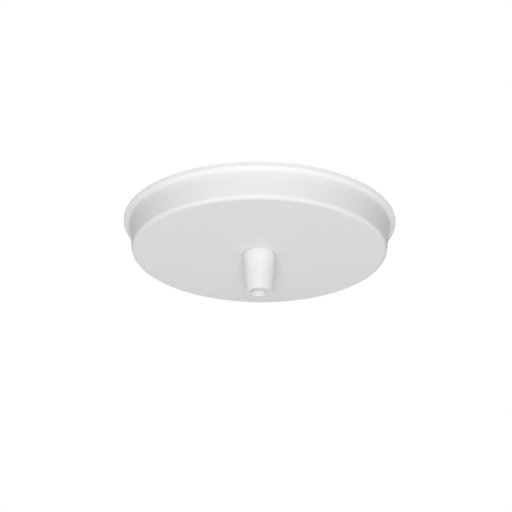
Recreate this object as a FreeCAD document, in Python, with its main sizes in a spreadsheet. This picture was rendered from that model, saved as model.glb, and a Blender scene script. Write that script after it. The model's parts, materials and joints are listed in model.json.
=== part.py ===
import FreeCAD, Part
import math
import operator
import os
import Sketcher
from FreeCAD import Vector

# Ceiling rose: a pressed cup held up against the ceiling by a cone-shaped cord grip.
# Lengths are in millimetres. Z is up, the ceiling is the plane z = 0, and the rose hangs below it
# around the Z axis. Each piece is drawn in a frame of its own and then placed.

# Each driving size has one name, one number and one meaning. Threads are drawn at their
# outside diameter.
SIZES = [
    ("cup_radius", 55.8, "outside of the cup at its face, before rounding"),
    ("cup_height", 14.5, "ceiling to the outside of the cup's face"),
    ("cup_sheet", 0.8, "thickness of the cup's sheet"),
    ("wall_spread", 1.6, "how much further out the cup's wall stands at its flange"),
    ("flange_reach", 2.6, "how far the flange stands out from the wall"),
    ("face_bend", 1.9, "outside radius between wall and face"),
    ("flare_bend", 1.85, "radius under the flange, where the wall flares out"),
    ("cup_hole_gap", 0.2, "room round the tube in the cup's hole"),

    ("tube_radius", 5.0, "outside of the hollow threaded tube"),
    ("tube_wall", 1.0, "wall of the tube"),
    ("tube_proud", 1.0, "how far the tube stands above its top nut"),
    ("tube_in_cone", 9.4, "how far the tube reaches into the cone"),
    ("thread_gap", 0.04, "room between a thread and its mate, on the radius"),
    ("end_chamfer", 0.4, "chamfer on the tube's ends"),

    ("thread_spare", 0.8, "how much deeper the cone's thread is than the tube reaches"),
    ("taper_length", 6.9, "length of the taper inside the cone"),
    ("mouth_length", 0.9, "straight length of the cone's opening for the cord"),
    ("cone_base_wall", 2.31, "wall of the cone round its thread, at the cup"),
    ("cone_tip_wall", 1.95, "wall of the cone at its tip, before rounding"),
    ("cone_bulge", 0.4, "how far the cone's side bows out between its ends"),
    ("cone_tip_round", 1.6, "rounding of the cone's tip"),
    ("cone_edge_round", 0.3, "rounding of the cone's other edges"),

    ("collet_bore_radius", 2.9, "bore of the collet, which grips the cord"),
    ("collet_wall", 0.75, "wall of the collet at its thin end"),
    ("collet_gap", 0.15, "room between the collet and the cone's taper"),
    ("collet_end_gap", 0.3, "room between the collet and the tube's end"),
    ("collet_slot", 0.8, "width of each slot in the collet"),
    ("collet_ring", 1.8, "height of the collet's ring above its slots"),

    ("plate_sheet", 1.5, "thickness of the bracket's sheet"),
    ("plate_drop", 6.0, "ceiling to the top of the bracket's lowered middle"),
    ("plate_bend", 1.0, "inside radius of the bracket's bends"),
    ("plate_corner", 4.0, "rounding of the bracket's outer corners"),
    ("plate_relief", 2.0, "rounding of the corners between the bar, the arm and the tab"),
    ("bar_width", 18.0, "width of the bar"),
    ("bar_cup_gap", 5.0, "end of the bar to the inside of the cup at its face"),
    ("bar_bend_gap", 5.0, "corners between the bar and the arm to the bar's bend"),
    ("slot_edge", 4.0, "end of the bar to the slot for a ceiling screw"),
    ("slot_width", 4.5, "width of those slots"),
    ("slot_length", 12.0, "length of those slots"),
    ("arm_width", 18.0, "width of the arm and the tab"),
    ("arm_bend_gap", 1.0, "the same corners to the arm's bend"),
    ("earth_edge", 6.0, "axis of the earth screw to the end of its tab"),
    ("earth_gap", 1.8, "edge of the toothed washer to the cup washer"),

    ("nut_flats", 14.0, "locknut across its flats"),
    ("nut_height", 3.0, "height of a locknut"),
    ("tooth_radius", 8.6, "outside of the toothed washer"),
    ("tooth_depth", 1.9, "depth of the notches between its teeth"),
    ("tooth_notch", 1.6, "width of those notches"),
    ("tooth_sheet", 0.5, "thickness of the toothed washer"),

    ("bush_head", 0.8, "height of the bush's head on the tube's end"),
    ("bush_depth", 5.0, "length of the bush inside the tube"),
    ("bush_wall", 0.8, "wall of the bush"),
    ("bush_gap", 0.05, "room between the bush and the tube"),

    ("pole_pitch", 9.0, "distance between the poles of the terminal strip"),
    ("strip_depth", 16.0, "size of the strip along its barrels"),
    ("strip_edge", 4.0, "axis of an outer pole to the strip's end"),
    ("strip_front_gap", 1.6, "the arm's bend to the strip"),
    ("strip_back_gap", 2.4, "strip to the end of the bracket's arm"),
    ("strip_floor_gap", 1.2, "the strip's towers to the inside of the cup's face"),
    ("notch_width", 1.4, "width of the notches between the poles"),
    ("notch_depth", 2.4, "depth of those notches"),
    ("tower_wall", 0.85, "wall of the tower round a screw's head"),
    ("tower_chamfer", 0.4, "chamfer on a tower's rim"),
    ("barrel_floor", 0.9, "wall of the strip under a barrel"),
    ("barrel_radius", 2.2, "outside of a barrel"),
    ("barrel_bore_radius", 1.45, "bore of a barrel, where the wires go"),
    ("barrel_recess", 1.8, "end of a barrel to the strip's side"),
    ("barrel_gap", 0.05, "room between a barrel and its tunnel"),
    ("barrel_chamfer", 0.3, "chamfer on a barrel's ends"),
    ("funnel_chamfer", 0.5, "chamfer round the mouth of a barrel's tunnel"),
    ("screw_end", 2.6, "end of a barrel to the axis of its nearest screw"),
    ("screw_reach", 1.2, "head of a terminal screw to its barrel"),

    ("wire_screw_radius", 1.25, "thread of a terminal screw"),
    ("wire_head_radius", 1.9, "head of a terminal screw"),
    ("wire_head_height", 1.5, "height of that head"),
    ("wire_head_recess", 0.7, "rim of a tower to the head inside it"),
    ("well_gap", 0.15, "room round a terminal screw's head in its tower"),

    ("block_screw_radius", 1.25, "thread of the screws that hold the strip"),
    ("block_head_radius", 2.0, "head of those screws"),
    ("block_head_height", 1.4, "height of that head"),
    ("block_hole_gap", 0.15, "room round those screws in the strip"),
    ("block_tip_drop", 0.2, "ceiling to the tip of those screws"),

    ("earth_screw_radius", 2.0, "thread of the earth screw"),
    ("earth_head_radius", 3.5, "head of the earth screw"),
    ("earth_head_height", 1.8, "height of that head"),
    ("earth_proud", 1.4, "how far its thread stands above the tab"),
    ("cup_washer_radius", 4.1, "outside of the cup washer"),
    ("cup_washer_height", 1.3, "height of the cup washer"),
    ("cup_washer_sheet", 0.7, "thickness of the cup washer"),
    ("cup_washer_gap", 0.2, "room round the earth screw in its washer"),

    ("drive_slot", 0.6, "width of a screw's driver slot"),
    ("drive_depth", 0.7, "depth of a screw's driver slot"),
    ("tip_chamfer", 0.4, "chamfer on a screw's tip"),
    ("head_chamfer", 0.25, "chamfer round a screw's head"),
]

POLES = 3
WASHER_TEETH = 14
COLLET_SLOTS = 4
# The collet's slots stand at this angle to the bracket's arms, in degrees.
COLLET_TURN = 45

# A sheet bent by 45 degrees has its outer corner further along by this share of its thickness.
MITRE = math.tan(math.radians(22.5))
# From a hexagon's axis to its corner, as a share of the size across its flats.
HEX_CORNER = 1 / math.sqrt(3)
# A nut's corners are cut at 30 degrees.
NUT_CHAMFER = math.tan(math.radians(30))

X_AXIS = Vector(1, 0, 0)
Y_AXIS = Vector(0, 1, 0)
Z_AXIS = Vector(0, 0, 1)

# Two places closer than this are the same, and two directions whose product passes this agree.
SAME_PLACE = 1e-4
SAME_WAY = 0.999

OPERATIONS = {"+": operator.add, "-": operator.sub, "*": operator.mul, "/": operator.truediv}


class Size:
    """A length: its number now, and the sheet's formula that gives it."""

    def __init__(self, number, formula):
        self.number = number
        self.formula = formula

    def __add__(self, other):
        return worked_out(self, "+", other)

    def __radd__(self, other):
        return worked_out(other, "+", self)

    def __sub__(self, other):
        return worked_out(self, "-", other)

    def __rsub__(self, other):
        return worked_out(other, "-", self)

    def __mul__(self, other):
        return worked_out(self, "*", other)

    def __rmul__(self, other):
        return worked_out(other, "*", self)

    def __truediv__(self, other):
        return worked_out(self, "/", other)

    def __neg__(self):
        return worked_out(0, "-", self)


def as_size(value):
    if isinstance(value, Size):
        return value
    return Size(float(value), repr(float(value)))


def worked_out(left, sign, right):
    left, right = as_size(left), as_size(right)
    number = OPERATIONS[sign](left.number, right.number)
    return Size(number, f"({left.formula} {sign} {right.formula})")


class SizeSheet:
    """The document's spreadsheet, with each driving size as an attribute."""

    def __init__(self, doc, rows):
        sheet = doc.addObject("Spreadsheet::Sheet", "Sizes")
        for row, (alias, number, meaning) in enumerate(rows, start=1):
            sheet.set(f"A{row}", str(number))
            sheet.setAlias(f"A{row}", alias)
            sheet.set(f"B{row}", meaning)
            setattr(self, alias, Size(number, f"Sizes.{alias}"))
        doc.recompute()


# Helpers for sketches and features

def new_body(doc, name, x=0, y=0, z=0):
    """A piece, placed where the sheet's formulas say."""
    body = doc.addObject("PartDesign::Body", name)
    body.Label = name
    for axis, place in (("x", x), ("y", y), ("z", z)):
        body.setExpression(f".Placement.Base.{axis}", as_size(place).formula)
    return body


def new_sketch(body, name, plane, lift=0, turn=0):
    """A sketch on one of the piece's own planes, moved along its normal and turned upright."""
    sketch = body.newObject("Sketcher::SketchObject", name)
    support = [feature for feature in body.Origin.OriginFeatures if feature.Role == plane]
    sketch.AttachmentSupport = [(support[0], "")]
    sketch.MapMode = "FlatFace"
    sketch.AttachmentOffset = FreeCAD.Placement(Vector(), FreeCAD.Rotation(Y_AXIS, turn))
    sketch.setExpression(".AttachmentOffset.Base.z", as_size(lift).formula)
    return sketch


def bind(sketch, constraint, size):
    """Add a constraint whose value is a formula of the sheet."""
    index = sketch.addConstraint(Sketcher.Constraint(*constraint, size.number))
    sketch.setExpression(f"Constraints[{index}]", size.formula)


def pin_point(sketch, curve, end, x, y):
    bind(sketch, ("DistanceX", curve, end), as_size(x))
    bind(sketch, ("DistanceY", curve, end), as_size(y))


def arc_between(start, end, radius):
    """The short arc from start to end, with its centre to the left of the way if radius > 0."""
    way = end - start
    left = Vector(-way.y, way.x, 0).normalize()
    reach = math.sqrt(max(radius ** 2 - (way.Length / 2) ** 2, 0.0))
    centre = (start + end) / 2 + left * math.copysign(reach, radius)
    first, last = (start, end) if radius > 0 else (end, start)
    angles = [math.atan2(point.y - centre.y, point.x - centre.x) for point in (first, last)]
    if angles[1] < angles[0]:
        angles[1] += 2 * math.pi
    return Part.ArcOfCircle(Part.Circle(centre, Z_AXIS, abs(radius)), *angles)


def arc_radius(rise, run, bulge):
    """The radius of an arc over a rise and a run that leaves its chord by a bulge."""
    return (rise * rise + run * run) / (bulge * 8) + bulge / 2


def draw_outline(sketch, corners):
    """A closed outline through corners (x, y). With a third value, the edge that ends at the
    corner is an arc of that radius: positive turns left on the way round, negative right."""
    places = [Vector(as_size(corner[0]).number, as_size(corner[1]).number, 0) for corner in corners]
    ends = []
    for index, corner in enumerate(corners):
        start, end = places[index - 1], places[index]
        if len(corner) == 2:
            curve = sketch.addGeometry(Part.LineSegment(start, end))
            ends.append((curve, 1, 2))
            continue
        turn = as_size(corner[2])
        curve = sketch.addGeometry(arc_between(start, end, turn.number))
        ends.append((curve, 1, 2) if turn.number > 0 else (curve, 2, 1))
    for index, (curve, start, end) in enumerate(ends):
        before, _, before_end = ends[index - 1]
        sketch.addConstraint(Sketcher.Constraint("Coincident", before, before_end, curve, start))
        pin_point(sketch, curve, end, corners[index][0], corners[index][1])
        if len(corners[index]) == 3:
            turn = as_size(corners[index][2])
            bind(sketch, ("Radius", curve), turn if turn.number > 0 else -turn)


def draw_circle(sketch, radius, x=0, y=0):
    centre = Vector(as_size(x).number, as_size(y).number, 0)
    curve = sketch.addGeometry(Part.Circle(centre, Z_AXIS, radius.number))
    pin_point(sketch, curve, 3, x, y)
    bind(sketch, ("Radius", curve), radius)


def draw_slot(sketch, x, width, length):
    """A slot along X with round ends, centred at x."""
    round_end = width / 2
    straight = length / 2 - round_end
    draw_outline(sketch, [
        (x - straight, -round_end, round_end),
        (x + straight, -round_end),
        (x + straight + round_end, 0, round_end),
        (x + straight, round_end, round_end),
        (x - straight, round_end),
        (x - straight - round_end, 0, round_end),
    ])


def add_feature(body, kind, name, settings, formulas=None):
    """A feature on top of the body so far. A feature that cuts must take material away."""
    doc = body.Document
    before = body.Shape.Volume if body.Tip else 0.0
    feature = body.newObject(f"PartDesign::{kind}", name)
    for key, value in settings.items():
        setattr(feature, key, value)
    for key, size in (formulas or {}).items():
        feature.setExpression(key, as_size(size).formula)
    body.Tip = feature
    doc.recompute()
    if kind in ("Pocket", "Groove") and not body.Shape.Volume < before:
        raise ValueError(f"{body.Label}: {name} cuts nothing")
    return feature


def pad(body, sketch, length, side="One side", reverse=False):
    settings = {"Profile": sketch, "SideType": side, "Reversed": reverse}
    return add_feature(body, "Pad", f"{sketch.Name}_pad", settings, {"Length": length})


def pocket(body, sketch, length, reverse=False):
    settings = {"Profile": sketch, "Reversed": reverse}
    return add_feature(body, "Pocket", f"{sketch.Name}_cut", settings, {"Length": length})


def pocket_through(body, sketch, side="Symmetric", reverse=False):
    settings = {"Profile": sketch, "SideType": side, "Type": "ThroughAll", "Reversed": reverse}
    return add_feature(body, "Pocket", f"{sketch.Name}_cut", settings)


def revolve(body, sketch, kind="Revolution"):
    """Turn a sketch about its own vertical axis."""
    settings = {"Profile": sketch, "ReferenceAxis": (sketch, ["V_Axis"]), "Angle": 360}
    return add_feature(body, kind, f"{sketch.Name}_turn", settings)


def polar(body, feature, sketch, count, axis="N_Axis"):
    """Repeat a feature about the normal of its sketch, or about another of its axes."""
    settings = {"Originals": [feature], "Axis": (sketch, [axis]), "Angle": 360,
                "Occurrences": count}
    return add_feature(body, "PolarPattern", f"{feature.Name}_ring", settings)


def edges_where(body, test):
    """The names of the edges whose middle and direction pass a test."""
    names = []
    for index, edge in enumerate(body.Shape.Edges, start=1):
        middle = edge.valueAt((edge.FirstParameter + edge.LastParameter) / 2)
        if test(edge, middle - body.Placement.Base):
            names.append(f"Edge{index}")
    return names


def round_edges(body, name, radius, test):
    settings = {"Base": (body.Tip, edges_where(body, test))}
    return add_feature(body, "Fillet", name, settings, {"Radius": radius})


def bevel_edges(body, name, size, test):
    settings = {"Base": (body.Tip, edges_where(body, test))}
    return add_feature(body, "Chamfer", name, settings, {"Size": size})


def near(value, size):
    return abs(value - as_size(size).number) < SAME_PLACE


def ring(middle, radius, z):
    """Whether the middle of an edge lies on a circle about the vertical axis."""
    return near(middle.z, z) and near(math.hypot(middle.x, middle.y), radius)


def along(edge, axis):
    """Whether a straight edge runs along an axis."""
    if not isinstance(edge.Curve, (Part.Line, Part.LineSegment)):
        return False
    return abs(edge.Curve.Direction.dot(axis)) > SAME_WAY


# Places that several pieces share

def shared_places(size):
    """Where pieces seat on each other, and what one takes from another, as named formulas."""
    size.thread_hole = size.tube_radius + size.thread_gap
    size.cup_inside = size.cup_radius - size.cup_sheet
    size.cup_floor = size.cup_sheet - size.cup_height

    size.plate_top = -size.plate_drop
    size.plate_bottom = size.plate_top - size.plate_sheet
    size.top_nut_z = size.plate_top + size.tooth_sheet
    size.tube_top = size.top_nut_z + size.nut_height + size.tube_proud
    size.cone_top = -size.cup_height
    size.tube_length = size.tube_top - size.cone_top + size.tube_in_cone

    size.thread_depth = size.tube_in_cone + size.thread_spare
    size.cone_length = size.thread_depth + size.taper_length + size.mouth_length
    size.mouth_radius = size.collet_bore_radius + size.collet_wall + size.collet_gap

    size.bar_end = size.cup_inside - size.bar_cup_gap
    size.bar_low = size.arm_width / 2 + size.plate_relief + size.bar_bend_gap
    size.bar_high = size.bar_low + size.plate_drop
    size.slot_place = size.bar_end - size.slot_edge - size.slot_length / 2
    size.arm_low = size.bar_width / 2 + size.plate_relief + size.arm_bend_gap
    size.arm_high = size.arm_low + size.plate_drop
    size.strip_y = size.arm_high + size.strip_front_gap + size.strip_depth / 2
    size.arm_end = size.strip_y + size.strip_depth / 2 + size.strip_back_gap
    size.earth_place = size.tooth_radius + size.earth_gap + size.cup_washer_radius
    size.tab_end = size.earth_place + size.earth_edge

    size.strip_top = -size.plate_sheet
    size.strip_foot = size.cup_floor + size.strip_floor_gap
    size.wire_head_z = size.strip_foot + size.wire_head_recess + size.wire_head_height
    size.barrel_z = size.wire_head_z + size.screw_reach + size.barrel_radius
    size.barrel_depth = size.strip_top - size.barrel_z
    size.strip_height = size.barrel_depth + size.barrel_radius + size.barrel_floor
    size.tower_height = size.strip_top - size.strip_height - size.strip_foot
    size.well_radius = size.wire_head_radius + size.well_gap
    size.tower_radius = size.well_radius + size.tower_wall
    size.barrel_half = size.strip_depth / 2 - size.barrel_recess
    size.screw_y = size.barrel_half - size.screw_end


# The pieces

def canopy_cup(doc, size):
    """One pressed sheet: a flat face, a wall that spreads and a flange with a round lip."""
    body = new_body(doc, "canopy_cup", z=-size.cup_height)
    sheet = size.cup_sheet
    lip = sheet / 2
    hole = size.tube_radius + size.cup_hole_gap
    flare_top = size.cup_height - sheet
    lean = size.wall_spread / flare_top
    wall_top = size.cup_radius + size.wall_spread
    flange = wall_top + size.flange_reach
    inner_low = size.cup_inside + lean * sheet
    inner_high = size.cup_inside + lean * size.cup_height
    sketch = new_sketch(body, "cup_section", "XZ_Plane")
    draw_outline(sketch, [
        (hole, sheet),
        (hole, 0),
        (size.cup_radius, 0),
        (wall_top, flare_top),
        (flange - lip, flare_top),
        (flange, flare_top + lip, lip),
        (flange - lip, size.cup_height, lip),
        (inner_high, size.cup_height),
        (inner_low, sheet),
    ])
    revolve(body, sketch)
    for name, bend, radius, z in (
            ("outer_face_bend", size.face_bend, size.cup_radius, 0),
            ("inner_face_bend", size.face_bend - sheet, inner_low, sheet),
            ("outer_flare", size.flare_bend, wall_top, flare_top),
            ("inner_flare", size.flare_bend + sheet, inner_high, size.cup_height)):
        round_edges(body, name, bend, lambda edge, middle: ring(middle, radius, z))


def grip_cone(doc, size):
    """The cord grip's cone: threaded at its base, tapered inside, open at its tip."""
    body = new_body(doc, "grip_cone", z=size.cone_top)
    base_radius = size.thread_hole + size.cone_base_wall
    tip_radius = size.mouth_radius + size.cone_tip_wall
    side = arc_radius(size.cone_length, base_radius - tip_radius, size.cone_bulge)
    sketch = new_sketch(body, "cone_section", "XZ_Plane")
    draw_outline(sketch, [
        (size.thread_hole, -size.thread_depth),
        (size.mouth_radius, size.mouth_length - size.cone_length),
        (size.mouth_radius, -size.cone_length),
        (tip_radius, -size.cone_length),
        (base_radius, 0, side),
        (size.thread_hole, 0),
    ])
    revolve(body, sketch)

    round_edges(body, "tip_rounding", size.cone_tip_round, lambda edge, middle: (
        ring(middle, tip_radius, -size.cone_length)))
    round_edges(body, "edge_rounding", size.cone_edge_round, lambda edge, middle: (
        ring(middle, size.mouth_radius, -size.cone_length) or ring(middle, base_radius, 0)))


def cord_collet(doc, size):
    """A sleeve with slots, so that the cone's taper closes it on the cord."""
    top = -size.tube_in_cone - size.collet_end_gap
    body = new_body(doc, "cord_collet", z=size.cone_top + top)
    shoulder = -size.thread_depth - top
    foot = size.mouth_length - size.cone_length - top
    sketch = new_sketch(body, "collet_section", "XZ_Plane")
    draw_outline(sketch, [
        (size.collet_bore_radius, 0),
        (size.collet_bore_radius, foot),
        (size.mouth_radius - size.collet_gap, foot),
        (size.thread_hole - size.collet_gap, shoulder),
        (size.thread_hole - size.collet_gap, 0),
    ])
    revolve(body, sketch)
    slot = new_sketch(body, "collet_slots", "YZ_Plane", turn=COLLET_TURN)
    draw_outline(slot, [
        (-size.collet_slot / 2, foot),
        (size.collet_slot / 2, foot),
        (size.collet_slot / 2, -size.collet_ring),
        (-size.collet_slot / 2, -size.collet_ring),
    ])
    polar(body, pocket_through(body, slot, side="One side"), slot, COLLET_SLOTS, axis="V_Axis")


def mounting_bracket(doc, size):
    """A pressed cross: a bar with lowered middle and slotted ears, an arm and an earth tab."""
    body = new_body(doc, "mounting_bracket")
    sheet = size.plate_sheet
    mitre = sheet * MITRE
    above = [(size.bar_end, 0), (size.bar_high, 0), (size.bar_low, size.plate_top)]
    below = [
        (size.bar_low + mitre, size.plate_bottom),
        (size.bar_high + mitre, -sheet),
        (size.bar_end, -sheet),
    ]
    bar = new_sketch(body, "bar_section", "XZ_Plane")
    right = below + above
    draw_outline(bar, right + [(-x, y) for x, y in reversed(right)])
    pad(body, bar, size.bar_width, side="Symmetric")

    arm = new_sketch(body, "arm_section", "YZ_Plane")
    draw_outline(arm, [
        (-size.tab_end, size.plate_bottom),
        (size.arm_low + mitre, size.plate_bottom),
        (size.arm_high + mitre, -sheet),
        (size.arm_end, -sheet),
        (size.arm_end, 0),
        (size.arm_high, 0),
        (size.arm_low, size.plate_top),
        (-size.tab_end, size.plate_top),
    ])
    pad(body, arm, size.arm_width, side="Symmetric")

    def bend(edge, middle, bar_x, arm_y, z):
        """Whether an edge is a bend of the bar or of the arm at this height."""
        on_bar = along(edge, Y_AXIS) and near(abs(middle.x), bar_x)
        on_arm = along(edge, X_AXIS) and near(middle.y, arm_y)
        return near(middle.z, z) and (on_bar or on_arm)

    round_edges(body, "inside_bends", size.plate_bend, lambda edge, middle: (
        bend(edge, middle, size.bar_low, size.arm_low, size.plate_top)
        or bend(edge, middle, size.bar_high + mitre, size.arm_high + mitre, -sheet)))
    round_edges(body, "outside_bends", size.plate_bend + sheet, lambda edge, middle: (
        bend(edge, middle, size.bar_low + mitre, size.arm_low + mitre, size.plate_bottom)
        or bend(edge, middle, size.bar_high, size.arm_high, 0)))
    round_edges(body, "outer_corners", size.plate_corner, lambda edge, middle: (
        along(edge, Z_AXIS) and (near(abs(middle.x), size.bar_end)
                                 or near(middle.y, size.arm_end)
                                 or near(middle.y, -size.tab_end))))
    round_edges(body, "inner_corners", size.plate_relief, lambda edge, middle: (
        along(edge, Z_AXIS) and near(abs(middle.x), size.arm_width / 2)
        and near(abs(middle.y), size.bar_width / 2)))

    holes = new_sketch(body, "plate_holes", "XY_Plane")
    draw_circle(holes, size.thread_hole)
    draw_circle(holes, size.earth_screw_radius + size.thread_gap, 0, -size.earth_place)
    for x in (-size.pole_pitch / 2, size.pole_pitch / 2):
        draw_circle(holes, size.block_screw_radius + size.thread_gap, x, size.strip_y)
    for x in (-size.slot_place, size.slot_place):
        draw_slot(holes, x, size.slot_width, size.slot_length)
    pocket_through(body, holes)


def threaded_tube(doc, size):
    body = new_body(doc, "threaded_tube", z=size.tube_top)
    bevel = size.end_chamfer
    sketch = new_sketch(body, "tube_section", "XZ_Plane")
    draw_outline(sketch, [
        (size.tube_radius - size.tube_wall, 0),
        (size.tube_radius - size.tube_wall, -size.tube_length),
        (size.tube_radius - bevel, -size.tube_length),
        (size.tube_radius, bevel - size.tube_length),
        (size.tube_radius, -bevel),
        (size.tube_radius - bevel, 0),
    ])
    revolve(body, sketch)


def tube_bush(doc, size):
    """A nylon bush pushed into the tube's top, so that its edge can't cut the wires."""
    body = new_body(doc, "tube_bush", z=size.tube_top)
    outside = size.tube_radius - size.tube_wall - size.bush_gap
    bore = outside - size.bush_wall
    sketch = new_sketch(body, "bush_section", "XZ_Plane")
    draw_outline(sketch, [
        (bore, -size.bush_depth),
        (outside, -size.bush_depth),
        (outside, 0),
        (size.tube_radius, 0),
        (size.tube_radius - size.bush_head / 2, size.bush_head),
        (bore + size.bush_head, size.bush_head),
        (bore, 0, size.bush_head),
    ])
    revolve(body, sketch)


def locknut(doc, size, name, z):
    """A thin hexagon nut with its corners cut on both faces."""
    body = new_body(doc, name, z=z)
    flat = size.nut_flats / 2
    corner = size.nut_flats * HEX_CORNER
    sketch = new_sketch(body, f"{name}_hexagon", "XY_Plane")
    draw_outline(sketch, [
        (flat, -corner / 2),
        (flat, corner / 2),
        (0, corner),
        (-flat, corner / 2),
        (-flat, -corner / 2),
        (0, -corner),
    ])
    pad(body, sketch, size.nut_height)
    bore = new_sketch(body, f"{name}_bore", "XY_Plane")
    draw_circle(bore, size.thread_hole)
    pocket_through(body, bore)
    cut = (corner - flat) * NUT_CHAMFER
    corners = new_sketch(body, f"{name}_corners", "XZ_Plane")
    draw_outline(corners, [(corner, 0), (corner, cut), (flat, 0)])
    draw_outline(corners, [(corner, size.nut_height), (flat, size.nut_height),
                           (corner, size.nut_height - cut)])
    revolve(body, corners, "Groove")


def tooth_washer(doc, size):
    """A lock washer with teeth round its outside."""
    body = new_body(doc, "tooth_washer", z=size.plate_top)
    ring = new_sketch(body, "washer_ring", "XY_Plane")
    draw_circle(ring, size.tooth_radius)
    draw_circle(ring, size.thread_hole)
    pad(body, ring, size.tooth_sheet)
    notch = new_sketch(body, "washer_notch", "XY_Plane")
    root = size.tooth_radius - size.tooth_depth
    draw_outline(notch, [
        (root, -size.tooth_notch / 2),
        (size.tooth_radius * 2, -size.tooth_notch / 2),
        (size.tooth_radius * 2, size.tooth_notch / 2),
        (root, size.tooth_notch / 2),
    ])
    polar(body, pocket_through(body, notch), notch, WASHER_TEETH)


def pole_places(size):
    """Where the poles of the strip stand along X."""
    return [size.pole_pitch * (index - (POLES - 1) / 2) for index in range(POLES)]


def terminal_housing(doc, size):
    """A moulded strip: a notched base, a tunnel for each barrel and a tower for each screw."""
    body = new_body(doc, "terminal_housing", y=size.strip_y, z=size.strip_top)
    poles = pole_places(size)
    gaps = [(left + right) / 2 for left, right in zip(poles, poles[1:])]
    half = size.strip_depth / 2
    end = poles[-1] + size.strip_edge
    front = [(-end, -half)]
    for gap in gaps:
        front += [
            (gap - size.notch_width / 2, -half),
            (gap - size.notch_width / 2, size.notch_depth - half),
            (gap + size.notch_width / 2, size.notch_depth - half),
            (gap + size.notch_width / 2, -half),
        ]
    front.append((end, -half))
    plan = new_sketch(body, "strip_plan", "XY_Plane")
    draw_outline(plan, front + [(x, -y) for x, y in reversed(front)])
    pad(body, plan, size.strip_height, reverse=True)

    towers = new_sketch(body, "strip_towers", "XY_Plane", -size.strip_height)
    wells = new_sketch(body, "strip_wells", "XY_Plane", -size.strip_height - size.tower_height)
    for x in poles:
        for y in (-size.screw_y, size.screw_y):
            draw_circle(towers, size.tower_radius, x, y)
            draw_circle(wells, size.well_radius, x, y)
    pad(body, towers, size.tower_height, reverse=True)
    foot = size.strip_foot - size.strip_top
    bevel_edges(body, "tower_rims", size.tower_chamfer, lambda edge, middle: near(middle.z, foot))

    tunnels = new_sketch(body, "strip_tunnels", "XZ_Plane")
    for x in poles:
        draw_circle(tunnels, size.barrel_radius + size.barrel_gap, x, -size.barrel_depth)
    pocket_through(body, tunnels)
    bevel_edges(body, "tunnel_mouths", size.funnel_chamfer, lambda edge, middle: (
        isinstance(edge.Curve, Part.Circle) and near(abs(middle.y), half)))
    pocket(body, wells, size.strip_height + size.tower_height - size.barrel_depth, reverse=True)
    holes = new_sketch(body, "strip_holes", "XY_Plane")
    for x in gaps:
        draw_circle(holes, size.block_screw_radius + size.block_hole_gap, x)
    pocket_through(body, holes)


def terminal_barrel(doc, size, name, x):
    """A brass barrel along Y with two screw holes in its underside."""
    body = new_body(doc, name, x=x, y=size.strip_y, z=size.barrel_z)
    half = size.barrel_half
    bevel = size.barrel_chamfer
    section = new_sketch(body, f"{name}_section", "XY_Plane")
    draw_outline(section, [
        (size.barrel_bore_radius, -half),
        (size.barrel_radius - bevel, -half),
        (size.barrel_radius, bevel - half),
        (size.barrel_radius, half - bevel),
        (size.barrel_radius - bevel, half),
        (size.barrel_bore_radius, half),
    ])
    revolve(body, section)
    holes = new_sketch(body, f"{name}_holes", "XY_Plane")
    for y in (-size.screw_y, size.screw_y):
        draw_circle(holes, size.wire_screw_radius + size.thread_gap, 0, y)
    pocket_through(body, holes, side="One side")


def screw(doc, size, name, place, radius, length, head_radius, head_height):
    """A slotted screw that points up. Its head hangs below z = 0, where it seats."""
    body = new_body(doc, name, *place)
    tip = size.tip_chamfer
    edge = size.head_chamfer
    section = new_sketch(body, f"{name}_section", "XZ_Plane")
    draw_outline(section, [
        (0, -head_height),
        (head_radius - edge, -head_height),
        (head_radius, edge - head_height),
        (head_radius, 0),
        (radius, 0),
        (radius, length - tip),
        (radius - tip, length),
        (0, length),
    ])
    revolve(body, section)
    slot = new_sketch(body, f"{name}_slot", "XZ_Plane")
    draw_outline(slot, [
        (-size.drive_slot / 2, -head_height),
        (size.drive_slot / 2, -head_height),
        (size.drive_slot / 2, size.drive_depth - head_height),
        (-size.drive_slot / 2, size.drive_depth - head_height),
    ])
    pocket_through(body, slot)


def terminal_screws(doc, size):
    """Two screws to a barrel, each with its tip on the barrel's axis."""
    length = size.barrel_z - size.wire_head_z
    number = 1
    for x in pole_places(size):
        for side in (-1, 1):
            place = (x, size.strip_y + size.screw_y * side, size.wire_head_z)
            screw(doc, size, f"terminal_screw_{number}", place, size.wire_screw_radius, length,
                  size.wire_head_radius, size.wire_head_height)
            number += 1


def block_screws(doc, size):
    """The screws that hold the strip, from its base up into the bracket's arm."""
    seat = size.strip_top - size.strip_height
    length = -size.block_tip_drop - seat
    for number, side in ((1, -1), (2, 1)):
        place = (size.pole_pitch * (side / 2), size.strip_y, seat)
        screw(doc, size, f"block_screw_{number}", place, size.block_screw_radius, length,
              size.block_head_radius, size.block_head_height)


def earth_terminal(doc, size):
    """The earth screw in the bracket's tab, and the cup washer under its head."""
    seat = size.plate_bottom - size.cup_washer_height
    length = size.cup_washer_height + size.plate_sheet + size.earth_proud
    screw(doc, size, "earth_screw", (0, -size.earth_place, seat), size.earth_screw_radius, length,
          size.earth_head_radius, size.earth_head_height)
    body = new_body(doc, "earth_cup_washer", y=-size.earth_place, z=seat)
    hole = size.earth_screw_radius + size.cup_washer_gap
    rim = size.cup_washer_radius - size.cup_washer_sheet
    section = new_sketch(body, "cup_washer_section", "XZ_Plane")
    draw_outline(section, [
        (hole, 0),
        (size.cup_washer_radius, 0),
        (size.cup_washer_radius, size.cup_washer_height),
        (rim, size.cup_washer_height),
        (rim, size.cup_washer_sheet),
        (hole, size.cup_washer_sheet),
    ])
    revolve(body, section)


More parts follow.
